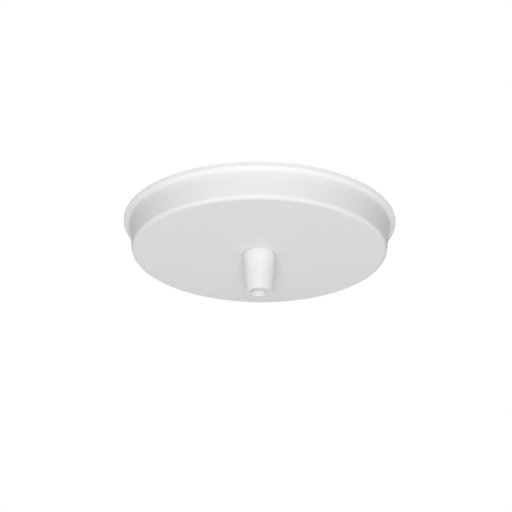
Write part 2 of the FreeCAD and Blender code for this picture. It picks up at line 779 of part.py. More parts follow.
def check(doc):
    """Stop if any object failed, any sketch is loose or any piece is not one valid solid."""
    for item in doc.Objects:
        if {"Invalid", "Error"} & set(item.State):
            raise ValueError(f"{item.Label} failed: {item.State}")
        if item.TypeId == "Sketcher::SketchObject" and not item.FullyConstrained:
            raise ValueError(f"{item.Label} is not fully constrained")
    for body in pieces(doc):
        if body.Shape.isNull() or not body.Shape.isValid() or len(body.Shape.Solids) != 1:
            raise ValueError(f"{body.Label} is not one valid solid")


def pieces(doc):
    return [item for item in doc.Objects if item.TypeId == "PartDesign::Body"]


def build():
    doc = FreeCAD.newDocument("ceiling_rose")
    size = SizeSheet(doc, SIZES)
    shared_places(size)
    canopy_cup(doc, size)
    grip_cone(doc, size)
    cord_collet(doc, size)
    mounting_bracket(doc, size)
    threaded_tube(doc, size)
    tube_bush(doc, size)
    tooth_washer(doc, size)
    locknut(doc, size, "top_locknut", size.top_nut_z)
    locknut(doc, size, "bottom_locknut", size.plate_bottom - size.nut_height)
    terminal_housing(doc, size)
    for number, x in enumerate(pole_places(size), start=1):
        terminal_barrel(doc, size, f"terminal_barrel_{number}", x)
    terminal_screws(doc, size)
    block_screws(doc, size)
    earth_terminal(doc, size)
    doc.recompute()
    check(doc)
    os.makedirs("parts", exist_ok=True)
    for body in pieces(doc):
        body.Shape.exportStep(f"parts/{body.Label}.step")
        print(body.Label, round(body.Shape.Volume, 2))


build()
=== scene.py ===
# %% [markdown]
# A ceiling rose and its cord grip
#
# The rose is a shallow pressed cup that hides the wiring of a pendant lamp. A small white cone
# screws up against its face and clamps the lamp's cord. Everything else, the bracket, the hollow
# tube, the nuts and the terminal strip, is inside the cup and shows when the cup is lowered.
#
# The solids come from the frame, which is loaded first and never moved. Each later cell gives one
# kind of piece the roundness, the thread or the finish that the plain solid lacks.

# %% The frame
import json
import math

import bmesh
import bpy
from mathutils import Matrix, Vector

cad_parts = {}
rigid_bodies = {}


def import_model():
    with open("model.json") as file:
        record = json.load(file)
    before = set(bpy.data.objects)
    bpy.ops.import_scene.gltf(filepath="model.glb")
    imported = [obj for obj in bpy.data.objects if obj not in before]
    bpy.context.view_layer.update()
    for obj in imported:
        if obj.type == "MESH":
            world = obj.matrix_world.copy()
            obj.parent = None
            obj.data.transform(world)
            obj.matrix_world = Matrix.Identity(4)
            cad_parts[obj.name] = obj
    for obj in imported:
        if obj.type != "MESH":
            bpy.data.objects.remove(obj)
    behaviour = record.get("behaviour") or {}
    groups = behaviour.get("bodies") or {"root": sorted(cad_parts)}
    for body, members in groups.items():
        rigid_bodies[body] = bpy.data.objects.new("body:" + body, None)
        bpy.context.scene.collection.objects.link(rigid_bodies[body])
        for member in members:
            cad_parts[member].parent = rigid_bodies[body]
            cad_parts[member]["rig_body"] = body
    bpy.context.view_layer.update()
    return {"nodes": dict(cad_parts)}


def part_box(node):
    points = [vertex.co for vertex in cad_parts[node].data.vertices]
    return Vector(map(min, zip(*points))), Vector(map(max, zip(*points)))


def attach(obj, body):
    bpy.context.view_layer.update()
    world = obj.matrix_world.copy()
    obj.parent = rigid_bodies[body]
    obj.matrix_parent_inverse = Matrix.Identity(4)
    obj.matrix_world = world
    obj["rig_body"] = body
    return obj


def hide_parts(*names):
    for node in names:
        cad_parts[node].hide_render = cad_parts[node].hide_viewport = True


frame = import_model()
MM = 0.001

# %% [markdown]
# Camera
#
# The rose is seen from below, as a person in the room sees it, with a long lens. The camera is
# placed by an angle and a distance from the middle of the cup's face. A very small roll and shift
# stand for a camera that was not quite level and not quite centred.

# %% Camera
FACE = Vector((0, 0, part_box("canopy_cup")[0].z))
CAMERA_BELOW = math.radians(24.35)
CAMERA_DISTANCE = 0.6865
CAMERA_ROLL = 0.0092
CAMERA_REACH = 20
LENS_MM = 110.0
SENSOR_MM = 36.0
SHIFT_X = -0.0065
SHIFT_Y = -0.0029


def add_camera():
    data = bpy.data.cameras.new("camera")
    data.lens = LENS_MM
    data.sensor_width = SENSOR_MM
    data.shift_x = SHIFT_X
    data.shift_y = SHIFT_Y
    data.clip_end = CAMERA_REACH
    camera = bpy.data.objects.new("camera", data)
    bpy.context.scene.collection.objects.link(camera)
    towards = Vector((0, -math.cos(CAMERA_BELOW), -math.sin(CAMERA_BELOW)))
    place = FACE + towards * CAMERA_DISTANCE
    aim = (-towards).to_track_quat("-Z", "Y").to_matrix().to_4x4()
    turn = Matrix.Rotation(CAMERA_ROLL, 4, "Z")
    camera.matrix_world = Matrix.Translation(place) @ aim @ turn
    bpy.context.scene.camera = camera
    return place


camera_place = add_camera()
print("camera at", [round(v, 3) for v in camera_place])

# %% [markdown]
# Writing node trees as sums
#
# Materials and Geometry Nodes are both trees of nodes. They could be built node by node and link
# by link, but a pattern is easier to read as a formula. A `Wire` is one output of a node, and
# adding or multiplying wires adds the Math nodes.

# %% Wires
class Wire:
    """One output of a node, which takes part in sums."""

    def __init__(self, graph, socket):
        self.graph = graph
        self.socket = socket

    def output(self, name):
        """Another output of the same node."""
        return Wire(self.graph, self.socket.node.outputs[name])

    def math(self, operation, *others):
        return self.graph.math(operation, self, *others)

    def __add__(self, other):
        return self.graph.math("ADD", self, other)

    def __radd__(self, other):
        return self.graph.math("ADD", other, self)

    def __sub__(self, other):
        return self.graph.math("SUBTRACT", self, other)

    def __rsub__(self, other):
        return self.graph.math("SUBTRACT", other, self)

    def __mul__(self, other):
        return self.graph.math("MULTIPLY", self, other)

    def __rmul__(self, other):
        return self.graph.math("MULTIPLY", other, self)

    def __truediv__(self, other):
        return self.graph.math("DIVIDE", self, other)

    def __rtruediv__(self, other):
        return self.graph.math("DIVIDE", other, self)


print("wires add, subtract, multiply and divide")

# %% [markdown]
# Adding nodes
#
# `Graph.add` makes any node in one call: its settings first, because they can change its sockets,
# then the values or wires of its inputs. It gives back one output of the node as a wire.

# %% Graphs
class Graph:
    """Adds nodes to one tree."""

    def __init__(self, tree):
        self.tree = tree

    def add(self, kind, settings=None, inputs=None, output=0):
        node = self.tree.nodes.new(kind)
        for name, value in (settings or {}).items():
            setattr(node, name, value)
        self.fill(node, inputs or {})
        return Wire(self, node.outputs[output]) if node.outputs else None

    def fill(self, node, inputs):
        for name, value in inputs.items():
            if isinstance(value, Wire):
                self.tree.links.new(value.socket, node.inputs[name])
            else:
                node.inputs[name].default_value = value

    def math(self, operation, *values):
        return self.add("ShaderNodeMath", {"operation": operation}, dict(enumerate(values)))


print("graphs ready")

# %% [markdown]
# What all finishes share
#
# Every finish here is a pattern in space: slow clouds change its tone, and fine noise its bumps.
# The patterns read the Object coordinates, so they stay on the piece when it moves, and they are
# counted in waves to a millimetre, which is how one would measure them on the real piece.

# %% Base for a material
def new_material(name):
    """A material, its graph, its shader and the position on the piece in millimetres."""
    material = bpy.data.materials.new(name)
    material.use_nodes = True
    graph = Graph(material.node_tree)
    shader = material.node_tree.nodes["Principled BSDF"]
    place = graph.add("ShaderNodeTexCoord", output="Object")
    in_mm = graph.add("ShaderNodeVectorMath", {"operation": "SCALE"}, {0: place, "Scale": 1 / MM})
    return material, graph, shader, in_mm


def noise(graph, place, waves, detail=3.0, roughness=0.5):
    """Noise with so many waves to a millimetre."""
    return graph.add("ShaderNodeTexNoise", {},
                     {"Vector": place, "Scale": waves, "Detail": detail, "Roughness": roughness})


def tones(graph, factor, first, second):
    """A colour between two tones."""
    return graph.add("ShaderNodeMix", {"data_type": "RGBA"},
                     {"Factor": factor, 6: (*first, 1), 7: (*second, 1)}, 2)


def bump(graph, height, depth_mm, strength):
    return graph.add("ShaderNodeBump", {},
                     {"Height": height, "Distance": depth_mm * MM, "Strength": strength})


print("material helpers ready")

# %% [markdown]
# The room
#
# The rose was photographed against pure white. More light would burn out a white product, so the
# world is white only where the camera, a reflection or glass looks at it, and dim as a light.

# %% World
WHITE = (1, 1, 1, 1)
ROOM_LIGHT = 0.105


def white_when_seen(graph):
    """1 where the camera, a reflection or glass looks, 0 for light."""
    ray = graph.add("ShaderNodeLightPath", output="Is Camera Ray")
    glossy = ray.output("Is Glossy Ray")
    return ray.math("MAXIMUM", glossy).math("MAXIMUM", ray.output("Is Transmission Ray"))


def set_world():
    world = bpy.data.worlds.new("room")
    bpy.context.scene.world = world
    world.use_nodes = True
    graph = Graph(world.node_tree)
    seen = white_when_seen(graph)
    graph.fill(world.node_tree.nodes["Background"],
               {"Color": WHITE, "Strength": seen + (1 - seen) * ROOM_LIGHT})
    return world


world = set_world()
print("world", world.name)

# %% [markdown]
# The floor
#
# A plain pale floor lies far below. It glows a little, because the cup's face looks down and gets
# its light from there. To the camera it fades into the white world, so that no horizon shows in a
# view from above.

# %% Floor
FLOOR_DROP = 2.4
FLOOR_SIZE = 60.0
FLOOR_GLOW = 0.31
FLOOR_FADE_MM = (2000.0, 7500.0)
FLOOR_WHITE = 0.5
FLOOR_DARK = (0.80, 0.80, 0.80)
FLOOR_LIGHT = (0.84, 0.84, 0.84)
FLOOR_WAVES = 0.003
FLOOR_ROUGHNESS = 0.9


def floor_material():
    material, graph, shader, place = new_material("pale_floor")
    cloud = noise(graph, place, FLOOR_WAVES, detail=4.0)
    graph.fill(shader, {
        "Base Color": tones(graph, cloud, FLOOR_DARK, FLOOR_LIGHT), "Roughness": FLOOR_ROUGHNESS,
        "Emission Color": WHITE, "Emission Strength": FLOOR_GLOW})
    away = graph.add("ShaderNodeVectorMath", {"operation": "LENGTH"}, {0: place}, "Value")
    fade = graph.add("ShaderNodeMapRange", {"interpolation_type": "SMOOTHSTEP"}, {
        "Value": away, "From Min": FLOOR_FADE_MM[0], "From Max": FLOOR_FADE_MM[1],
        "To Min": FLOOR_WHITE})
    white = graph.add("ShaderNodeEmission", {}, {"Color": WHITE, "Strength": 1.0})
    mixed = graph.add("ShaderNodeMixShader", {}, {
        "Fac": white_when_seen(graph) * fade, 1: Wire(graph, shader.outputs["BSDF"]), 2: white})
    graph.fill(material.node_tree.nodes["Material Output"], {"Surface": mixed})
    return material


def add_floor():
    mesh = bpy.data.meshes.new("floor")
    half = FLOOR_SIZE / 2
    corners = [(-half, -half), (half, -half), (half, half), (-half, half)]
    mesh.from_pydata([(x, y, -FLOOR_DROP) for x, y in corners], [], [(0, 1, 2, 3)])
    mesh.materials.append(floor_material())
    floor = bpy.data.objects.new("floor", mesh)
    bpy.context.scene.collection.objects.link(floor)
    return floor


floor = add_floor()
print("floor", floor.name)

# %% [markdown]
# The lamps
#
# A white product on white needs soft light with a direction, or its form disappears. One tall
# softbox stands in front and below, so the near side of the wall is the brightest part and the
# cone throws a faint shadow across the face. The sides get only what the floor and the room give,
# so they fall to a pale grey. A weak lamp above shows what stands on top of the bracket.

# %% Lamps
def add_softbox(name, place, size, power):
    """A rectangular lamp at a place, turned to the middle of the cup's face."""
    data = bpy.data.lights.new(name, "AREA")
    data.shape = "RECTANGLE"
    data.size, data.size_y = size
    data.energy = power
    lamp = bpy.data.objects.new(name, data)
    lamp.visible_camera = False
    bpy.context.scene.collection.objects.link(lamp)
    aim = (FACE - Vector(place)).to_track_quat("-Z", "Y").to_matrix().to_4x4()
    lamp.matrix_world = Matrix.Translation(place) @ aim


add_softbox("front_softbox", place=(-0.05, -2.28, -1.03), size=(1.1, 1.6), power=42.5)
add_softbox("top_softbox", place=(0, 0.3, 1.6), size=(1.6, 1.6), power=20.0)
bpy.context.scene.view_settings.view_transform = "Standard"

# %% [markdown]
# Painted steel
#
# The cup is sprayed with powder and baked, which leaves a satin skin with a faint orange peel. The
# peel is far too shallow to model, so it is a bump, finer than a millimetre. The skin is rough
# enough to give no sharp reflections, so the wall stays dark where it turns away at the sides. A
# very slow change of tone keeps the wide flat face from looking like paper.

# %% Satin white paint
SOFT_SHINE = 0.35
PAINT_DARK = (0.86, 0.862, 0.865)
PAINT_LIGHT = (0.88, 0.88, 0.877)
PAINT_ROUGHNESS = 0.5
GRAIN_ROUGHNESS = 0.08
GRAIN_HEIGHT = 0.15
PEEL_DEPTH_MM = 0.004


def satin_white_paint():
    material, graph, shader, place = new_material("satin_white_paint")
    cloud = noise(graph, place, waves=0.02, detail=2.0)
    peel = noise(graph, place, waves=0.9, detail=2.0)
    grain = noise(graph, place, waves=6.0, detail=2.0)
    graph.fill(shader, {
        "Base Color": tones(graph, cloud, PAINT_DARK, PAINT_LIGHT),
        "Roughness": PAINT_ROUGHNESS + GRAIN_ROUGHNESS * grain,
        "Specular IOR Level": SOFT_SHINE,
        "Normal": bump(graph, peel + GRAIN_HEIGHT * grain, PEEL_DEPTH_MM, strength=0.5),
    })
    return material


PAINT = satin_white_paint()
print("material", PAINT.name)

# %% [markdown]
# White plastic and nylon
#
# The cone is moulded in a hard white plastic with a softer shine than the paint. The collet, the
# bush and the terminal strip are nylon, which is slightly milky: light goes in a little way, so
# they get some subsurface scattering, and the strip a warmer white. The collet and the bush get
# very little of it, because light that is lost through the collet's thin wall would leave the
# mouth of the cone too dark.

# %% Plastics
SCATTER_DEPTH = 3.5 * MM
SCATTER_COLOURS = (1.0, 0.97, 0.93)
SKIN_DEPTH_MM = 0.006
SKIN_ROUGHNESS = 0.1


def moulded_plastic(name, dark, light, roughness, scatter):
    material, graph, shader, place = new_material(name)
    cloud = noise(graph, place, waves=0.25)
    skin = noise(graph, place, waves=5.0, roughness=0.6)
    graph.fill(shader, {
        "Base Color": tones(graph, cloud, dark, light),
        "Roughness": roughness + SKIN_ROUGHNESS * skin,
        "Specular IOR Level": SOFT_SHINE,
        "Subsurface Weight": scatter,
        "Subsurface Radius": SCATTER_COLOURS,
        "Subsurface Scale": SCATTER_DEPTH,
        "Normal": bump(graph, skin, SKIN_DEPTH_MM, strength=0.6),
    })
    return material


CONE_PLASTIC = moulded_plastic("white_plastic", dark=(0.79, 0.79, 0.785), light=(0.82, 0.82, 0.815),
                               roughness=0.36, scatter=0.4)
NYLON = moulded_plastic("milky_nylon", dark=(0.92, 0.92, 0.905), light=(0.955, 0.955, 0.94),
                        roughness=0.38, scatter=0.08)
STRIP_NYLON = moulded_plastic("strip_nylon", dark=(0.80, 0.79, 0.73), light=(0.85, 0.84, 0.79),
                              roughness=0.30, scatter=0.3)
print("materials", CONE_PLASTIC.name, NYLON.name, STRIP_NYLON.name)

# %% [markdown]
# Plated steel and brass
#
# Pressed and turned metal keeps the marks of its making: rolled sheet has fine lines one way,
# turned pieces have rings. Both are noise stretched along the line and squeezed across it. Zinc
# plate also has a faint cloudiness, which changes how sharp its reflection is from place to place.

# %% Metals
MARK_DEPTH_MM = 0.004
SCRATCH_HEIGHT = 0.5
CLOUD_ROUGHNESS = 0.16
LINE_ROUGHNESS = 0.08
LINES_ALONG_X = (0.06, 3, 3)
RINGS_ROUND_Y = (0.6, 5, 0.6)
RINGS_ROUND_Z = (0.6, 0.6, 4)
FINE_RINGS_ROUND_Z = (0.6, 0.6, 5)


def plated_metal(name, dark, light, roughness, stretch):
    """Metal whose marks run along the axes that have the smallest stretch."""
    material, graph, shader, place = new_material(name)
    along = graph.add("ShaderNodeMapping", {}, {"Vector": place, "Scale": stretch})
    lines = noise(graph, along, waves=2.0, detail=4.0, roughness=0.65)
    cloud = noise(graph, place, waves=0.35, detail=4.0, roughness=0.6)
    scratch = noise(graph, along, waves=9.0, detail=2.0)
    graph.fill(shader, {
        "Base Color": tones(graph, cloud, dark, light),
        "Metallic": 1.0,
        "Roughness": roughness + CLOUD_ROUGHNESS * cloud + LINE_ROUGHNESS * lines,
        "Normal": bump(graph, lines + SCRATCH_HEIGHT * scratch, MARK_DEPTH_MM, strength=0.5),
    })
    return material


ZINC_SHEET = plated_metal("zinc_sheet", (0.40, 0.42, 0.45), (0.60, 0.62, 0.64), 0.26, LINES_ALONG_X)
ZINC_TURNED = plated_metal("zinc_turned", (0.44, 0.46, 0.48), (0.62, 0.63, 0.64), 0.18, RINGS_ROUND_Z)
NICKEL = plated_metal("nickel_tube", (0.50, 0.47, 0.42), (0.66, 0.63, 0.57), 0.14, FINE_RINGS_ROUND_Z)
BRASS = plated_metal("turned_brass", (0.66, 0.46, 0.19), (0.80, 0.60, 0.29), 0.18, RINGS_ROUND_Y)
BRASS_SCREW = plated_metal("brass_screw", (0.66, 0.47, 0.20), (0.80, 0.61, 0.30), 0.18, RINGS_ROUND_Z)
print("materials", [m.name for m in bpy.data.materials])

# %% [markdown]
# Sections with rounded corners
#
# The cup, the cone, the bush and the cup washer are all round, so each is a section turned about
# its axis. A section could be a long list of points, but a maker's drawing gives it as corners
# with a rounding radius, so it is written that way and the helper works out the arcs.

# %% Rounded sections
ROUND_STEPS = 8


def rounded_section(corners):
    """Points (radius, height) of a closed outline with corners (radius, height, rounding)."""
    points = []
    for index, (x, z, rounding) in enumerate(corners):
        here = Vector((x, z))
        if rounding <= 0:
            points.append(here)
            continue
        back = (Vector(corners[index - 1][:2]) - here).normalized()
        ahead = (Vector(corners[(index + 1) % len(corners)][:2]) - here).normalized()
        half = back.angle(ahead) / 2
        centre = here + (back + ahead).normalized() * (rounding / math.sin(half))
        start = here + back * (rounding / math.tan(half)) - centre
        end = here + ahead * (rounding / math.tan(half)) - centre
        sweep = start.angle_signed(end)
        for step in range(ROUND_STEPS + 1):
            points.append(centre + Matrix.Rotation(-sweep * step / ROUND_STEPS, 2) @ start)
    return [(point.x, point.y) for point in points]


print("steps in the arc at each corner", ROUND_STEPS)

# %% [markdown]
# Turning a section
#
# The lathe puts a copy of the section at each step of the angle and joins neighbours with faces.
# Shading is smooth all over, with creases only where two faces meet at a real edge.

# %% The lathe
MERGE = 0.001 * MM
WIDE_SEGMENTS = 256
SMALL_SEGMENTS = 96
CREASE_DEGREES = 35


def one_finish(mesh, material):
    """The whole mesh in one material, shaded smoothly."""
    mesh.materials.clear()
    mesh.materials.append(material)
    for face in mesh.polygons:
        face.use_smooth = True
        face.material_index = 0


def creased(mesh, material, degrees=CREASE_DEGREES):
    """One finish, with creases where the surface turns more sharply than this."""
    one_finish(mesh, material)
    mesh.set_sharp_from_angle(angle=math.radians(degrees))
    mesh.update()


def new_piece(name, mesh):
    piece = bpy.data.objects.new(name, mesh)
    bpy.context.scene.collection.objects.link(piece)
    return piece


def turned(name, section, material, segments=SMALL_SEGMENTS):
    """Turn a closed section about the Z axis."""
    body = bmesh.new()
    rings = []
    for index in range(segments):
        angle = 2 * math.pi * index / segments
        across = Vector((math.cos(angle), math.sin(angle), 0))
        rings.append([body.verts.new(across * radius + Vector((0, 0, height)))
                      for radius, height in section])
    count = len(section)
    for index, ring in enumerate(rings):
        after = rings[(index + 1) % segments]
        for low in range(count):
            high = (low + 1) % count
            body.faces.new((ring[low], ring[high], after[high], after[low]))
    bmesh.ops.remove_doubles(body, verts=body.verts, dist=MERGE)
    bmesh.ops.recalc_face_normals(body, faces=body.faces)
    mesh = bpy.data.meshes.new(name)
    body.to_mesh(mesh)
    body.free()
    creased(mesh, material)
    return new_piece(name, mesh)


print("lathe steps", WIDE_SEGMENTS, "for cup and cone and", SMALL_SEGMENTS, "for small pieces")

# %% [markdown]
# Standing for a solid
#
# Each dressed piece takes the place of one solid.


def stand_for(piece, node):
    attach(piece, frame["nodes"][node]["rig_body"])
    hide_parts(node)
    print(piece.name, "faces", len(piece.data.polygons), "for", node)


# %% [markdown]
# The cup
#
# One blank of thin sheet is pressed into a shallow cup. The wall meets the face in a small round
# bend, spreads a little so that the press lets go of it, flares out at the top in a second bend
# and ends in a flat flange with a round lip. Both sides of the sheet are drawn, so its thickness
# shows at the lip and in the hole.

# %% The cup
CUP_LOW, CUP_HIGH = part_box("canopy_cup")
SHEET = 0.8 * MM
WALL_SPREAD = 1.6 * MM
FLANGE_REACH = 2.6 * MM
FACE_BEND = 1.9 * MM
FLARE_BEND = 1.85 * MM
HOLE_RADIUS = 5.2 * MM
LIP_ROUND = 0.39 * MM
PAINT_EDGE = 0.15 * MM


def cup_section():
    low, high = CUP_LOW.z, CUP_HIGH.z
    flange = min(CUP_HIGH.x, CUP_HIGH.y)
    wall_high = flange - FLANGE_REACH
    wall_low = wall_high - WALL_SPREAD
    inwards = SHEET * (1 - WALL_SPREAD / (high - SHEET - low))
    return rounded_section([
        (HOLE_RADIUS, low + SHEET, PAINT_EDGE),
        (HOLE_RADIUS, low, PAINT_EDGE),
        (wall_low, low, FACE_BEND),
        (wall_high, high - SHEET, FLARE_BEND),
        (flange, high - SHEET, LIP_ROUND),
        (flange, high, LIP_ROUND),
        (wall_high - inwards, high, FLARE_BEND + SHEET),
        (wall_low - inwards, low + SHEET, FACE_BEND - SHEET),
    ])


stand_for(turned("cup", cup_section(), PAINT, WIDE_SEGMENTS), "canopy_cup")

# %% [markdown]
# The cone
#
# The cone is turned from its own section too: threaded at its base, tapered inside so that it
# closes the collet, and open at its tip for the cord. Its side isn't quite straight but bows out a
# little, which is drawn as a row of short chords, and its tip has a generous round.

# %% The cone
CONE_LOW, CONE_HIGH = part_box("grip_cone")
TIP_WALL = 1.95 * MM
TIP_ROUND = 1.6 * MM
EDGE_ROUND = 0.3 * MM
MOUTH_RADIUS = 3.8 * MM
MOUTH_LENGTH = 0.9 * MM
THREAD_RADIUS = 5.04 * MM
THREAD_LENGTH = 10.2 * MM
BASE_RADIUS = 7.35 * MM
SIDE_BOW = 0.4 * MM
SIDE_CHORDS = 8


def bowed_side(low, high):
    """Points between two corners (radius, height) of a side that bows out."""
    points = []
    for step in range(1, SIDE_CHORDS):
        share = step / SIDE_CHORDS
        out = SIDE_BOW * 4 * share * (1 - share)
        points.append((low[0] + (high[0] - low[0]) * share + out,
                       low[1] + (high[1] - low[1]) * share, 0))
    return points


def cone_section():
    low, high = CONE_LOW.z, CONE_HIGH.z
    tip = (MOUTH_RADIUS + TIP_WALL, low)
    base = (BASE_RADIUS, high)
    return rounded_section([
        (THREAD_RADIUS, high - THREAD_LENGTH, 0),
        (MOUTH_RADIUS, low + MOUTH_LENGTH, 0),
        (MOUTH_RADIUS, low, EDGE_ROUND),
        (*tip, TIP_ROUND),
        *bowed_side(tip, base),
        (*base, EDGE_ROUND),
        (THREAD_RADIUS, high, EDGE_ROUND),
    ])


stand_for(turned("cone", cone_section(), CONE_PLASTIC, WIDE_SEGMENTS), "grip_cone")

# %% [markdown]
# Pieces with bevelled edges
#
# Pressed and moulded pieces already have the right outline as solids. What a solid lacks is the
# small radius that every real edge has and that catches the light. The solid's own mesh stays as
# it is: a copy is merged, its flat triangles are joined into whole faces, and a Bevel modifier
# rounds what is left sharp.

# %% Merging and bevelling
FLAT_DEGREES = 0.4
SHARP_DEGREES = 28
BEVEL_STEPS = 3
FINE_BEVEL_STEPS = 2


def merged_copy(node):
    """A clean mesh with the shape of a solid."""
    body = bmesh.new()
    body.from_mesh(frame["nodes"][node].data)
    bmesh.ops.remove_doubles(body, verts=body.verts, dist=MERGE)
    bmesh.ops.dissolve_limit(body, angle_limit=math.radians(FLAT_DEGREES),
                             verts=body.verts, edges=body.edges)
    mesh = bpy.data.meshes.new(node)
    body.to_mesh(mesh)
    body.free()
    return mesh


def round_edges(host, width, steps, limit="ANGLE"):
    """A Bevel modifier on the sharp edges, or on those with a weight."""
    bevel = host.modifiers.new("edges", "BEVEL")
    bevel.width = width
    bevel.segments = steps
    bevel.limit_method = limit
    bevel.angle_limit = math.radians(SHARP_DEGREES)


def baked(host):
    """The plain mesh that a piece's modifiers give. The host is removed."""
    graph = bpy.context.evaluated_depsgraph_get()
    mesh = bpy.data.meshes.new_from_object(host.evaluated_get(graph))
    bpy.data.objects.remove(host)
    return mesh


print("edges sharper than", SHARP_DEGREES, "degrees are rounded")

# %% [markdown]
# Bracket, strip, collet, nuts and barrels
#
# The bracket is pressed from zinc-plated strip and the terminal strip is moulded, so their edges
# are softer than those of the turned and split pieces. Weighted normals keep the flat faces flat
# beside their rounded edges.

# %% Bevelled copies
PRESSED_EDGE = 0.25 * MM
MOULDED_EDGE = 0.3 * MM
TURNED_EDGE = 0.12 * MM


def bevelled(name, node, width, material):
    """A solid's copy with rounded edges."""
    host = new_piece(name, merged_copy(node))
    round_edges(host, width, BEVEL_STEPS)
    host.modifiers.new("even shading", "WEIGHTED_NORMAL").keep_sharp = True
    mesh = baked(host)
    one_finish(mesh, material)
    stand_for(new_piece(name, mesh), node)


bevelled("bracket", "mounting_bracket", PRESSED_EDGE, ZINC_SHEET)
bevelled("terminal_strip", "terminal_housing", MOULDED_EDGE, STRIP_NYLON)
bevelled("collet", "cord_collet", TURNED_EDGE, NYLON)
for side in ("top", "bottom"):
    bevelled(f"{side}_nut", f"{side}_locknut", TURNED_EDGE, ZINC_TURNED)
for pole in (1, 2, 3):
    bevelled(f"barrel_{pole}", f"terminal_barrel_{pole}", TURNED_EDGE, BRASS)

# %% [markdown]
# The bush and the cup washer
#
# The nylon bush covers the tube's cut end so that it can't rub the wires. Its head is domed and
# its bore flares like a trumpet. The cup washer keeps the strands of the earth wire under the
# screw's head. It is turned in the middle and then set in its place, because the lathe works about
# the Z axis.

# %% Bush and cup washer
TUBE_WALL = 1.0 * MM
BUSH_WALL = 0.8 * MM
BUSH_GAP = 0.05 * MM
BUSH_HEAD = 0.8 * MM
BUSH_DOME = 0.48 * MM
BUSH_FLARE = 0.56 * MM
SOFT_EDGE = 0.25 * MM
WASHER_HOLE = 2.2 * MM
WASHER_SHEET = 0.7 * MM
WASHER_BEND = 0.5 * MM
WASHER_EDGE = 0.1 * MM


def add_bush():
    low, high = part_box("tube_bush")
    tube = high.x
    outside = tube - TUBE_WALL - BUSH_GAP
    bore = outside - BUSH_WALL
    section = rounded_section([
        (bore, low.z, SOFT_EDGE),
        (outside, low.z, SOFT_EDGE),
        (outside, high.z - BUSH_HEAD, 0),
        (tube, high.z - BUSH_HEAD, 0),
        (tube, high.z, BUSH_DOME),
        (bore, high.z, BUSH_FLARE),
    ])
    stand_for(turned("bush", section, NYLON), "tube_bush")


def add_cup_washer():
    low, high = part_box("earth_cup_washer")
    rim = (high.x - low.x) / 2
    section = rounded_section([
        (WASHER_HOLE, low.z, WASHER_EDGE),
        (rim, low.z, WASHER_BEND),
        (rim, high.z, WASHER_EDGE),
        (rim - WASHER_SHEET, high.z, WASHER_EDGE),
        (rim - WASHER_SHEET, low.z + WASHER_SHEET, WASHER_EDGE),
        (WASHER_HOLE, low.z + WASHER_SHEET, WASHER_EDGE),
    ])
    piece = turned("cup_washer", section, BRASS_SCREW)
    piece.data.transform(Matrix.Translation(((low.x + high.x) / 2, (low.y + high.y) / 2, 0)))
    stand_for(piece, "earth_cup_washer")


add_bush()
add_cup_washer()

# %% [markdown]
# Trees that wrap a grid
#
# The threads and the toothed washer follow rules, so Geometry Nodes make them. Both start as a
# flat grid. One formula for each of radius, angle and height then wraps the grid round the axis,
# and the points that meet are merged. A tree's sizes are named inputs, so that one tree serves
# every screw. It ends in real geometry with its material, and its result is baked.

# %% Trees with named inputs
def node_tree(name, inputs):
    """An empty Geometry Nodes tree with named inputs, and those inputs as wires."""
    tree = bpy.data.node_groups.new(name, "GeometryNodeTree")
    for label, kind in inputs.items():
        tree.interface.new_socket(label, in_out="INPUT", socket_type=f"NodeSocket{kind}")
    tree.interface.new_socket("Geometry", in_out="OUTPUT", socket_type="NodeSocketGeometry")
    graph = Graph(tree)
    entry = graph.add("NodeGroupInput")
    return graph, {label: entry.output(label) for label in inputs}


def flat_grid(graph, columns, rows):
    """A grid, and how far across and along it each point lies, from 0 to 1."""
    grid = graph.add("GeometryNodeMeshGrid", {}, {
        "Size X": 1.0, "Size Y": 1.0, "Vertices X": columns, "Vertices Y": rows})
    place = graph.add("GeometryNodeInputPosition")
    x = graph.add("ShaderNodeSeparateXYZ", {}, {0: place}, "X")
    return grid, x + 0.5, x.output("Y") + 0.5


def wrap(graph, grid, radius, angle, height, material):
    """Set the grid's points round the axis, and end the tree."""
    point = graph.add("ShaderNodeCombineXYZ", {}, {
        "X": radius * angle.math("COSINE"), "Y": radius * angle.math("SINE"), "Z": height})
    moved = graph.add("GeometryNodeSetPosition", {}, {"Geometry": grid, "Position": point})
    merged = graph.add("GeometryNodeMergeByDistance", {}, {"Geometry": moved, "Distance": MERGE})
    whole = graph.add("GeometryNodeRealizeInstances", {}, {"Geometry": merged})
    finished = graph.add("GeometryNodeSetMaterial", {}, {"Geometry": whole, "Material": material})
    graph.add("NodeGroupOutput", {}, {"Geometry": finished})
    return graph.tree


def from_tree(name, tree, values):
    """The plain mesh of a tree with these values."""
    host = new_piece(name, bpy.data.meshes.new(name))
    modifier = host.modifiers.new(tree.name, "NODES")
    modifier.node_group = tree
    sockets = {item.name: item.identifier for item in tree.interface.items_tree
               if item.in_out == "INPUT"}
    for label, value in values.items():
        modifier[sockets[label]] = value
    host.update_tag()
    return baked(host)


print("tree helpers ready")

# %% [markdown]
# The thread
#
# At each turn of the angle a thread's crest is one pitch further on. The grid's columns go round
# and its rows go down, and the distance of a point from the crest gives its depth. The first and
# last rows leave the thread and jump to the radius of the ends, which closes a screw's end and
# leaves a tube's rim open. Rows are whole numbers, so a test half-way between two of them tells
# one from the other. The crest has a small flat, as a rolled thread has.

# %% The thread tree
THREAD_INPUTS = {
    "Radius": "Float", "Depth": "Float", "Pitch": "Float", "Top": "Float", "Bottom": "Float",
    "Bevel": "Float", "Top Radius": "Float", "Bottom Radius": "Float",
    "Around": "Int", "Rows": "Int", "Material": "Material",
}
CREST_FLAT = 0.15
THREAD_SHARE = 0.55
ROWS_PER_TURN = 8


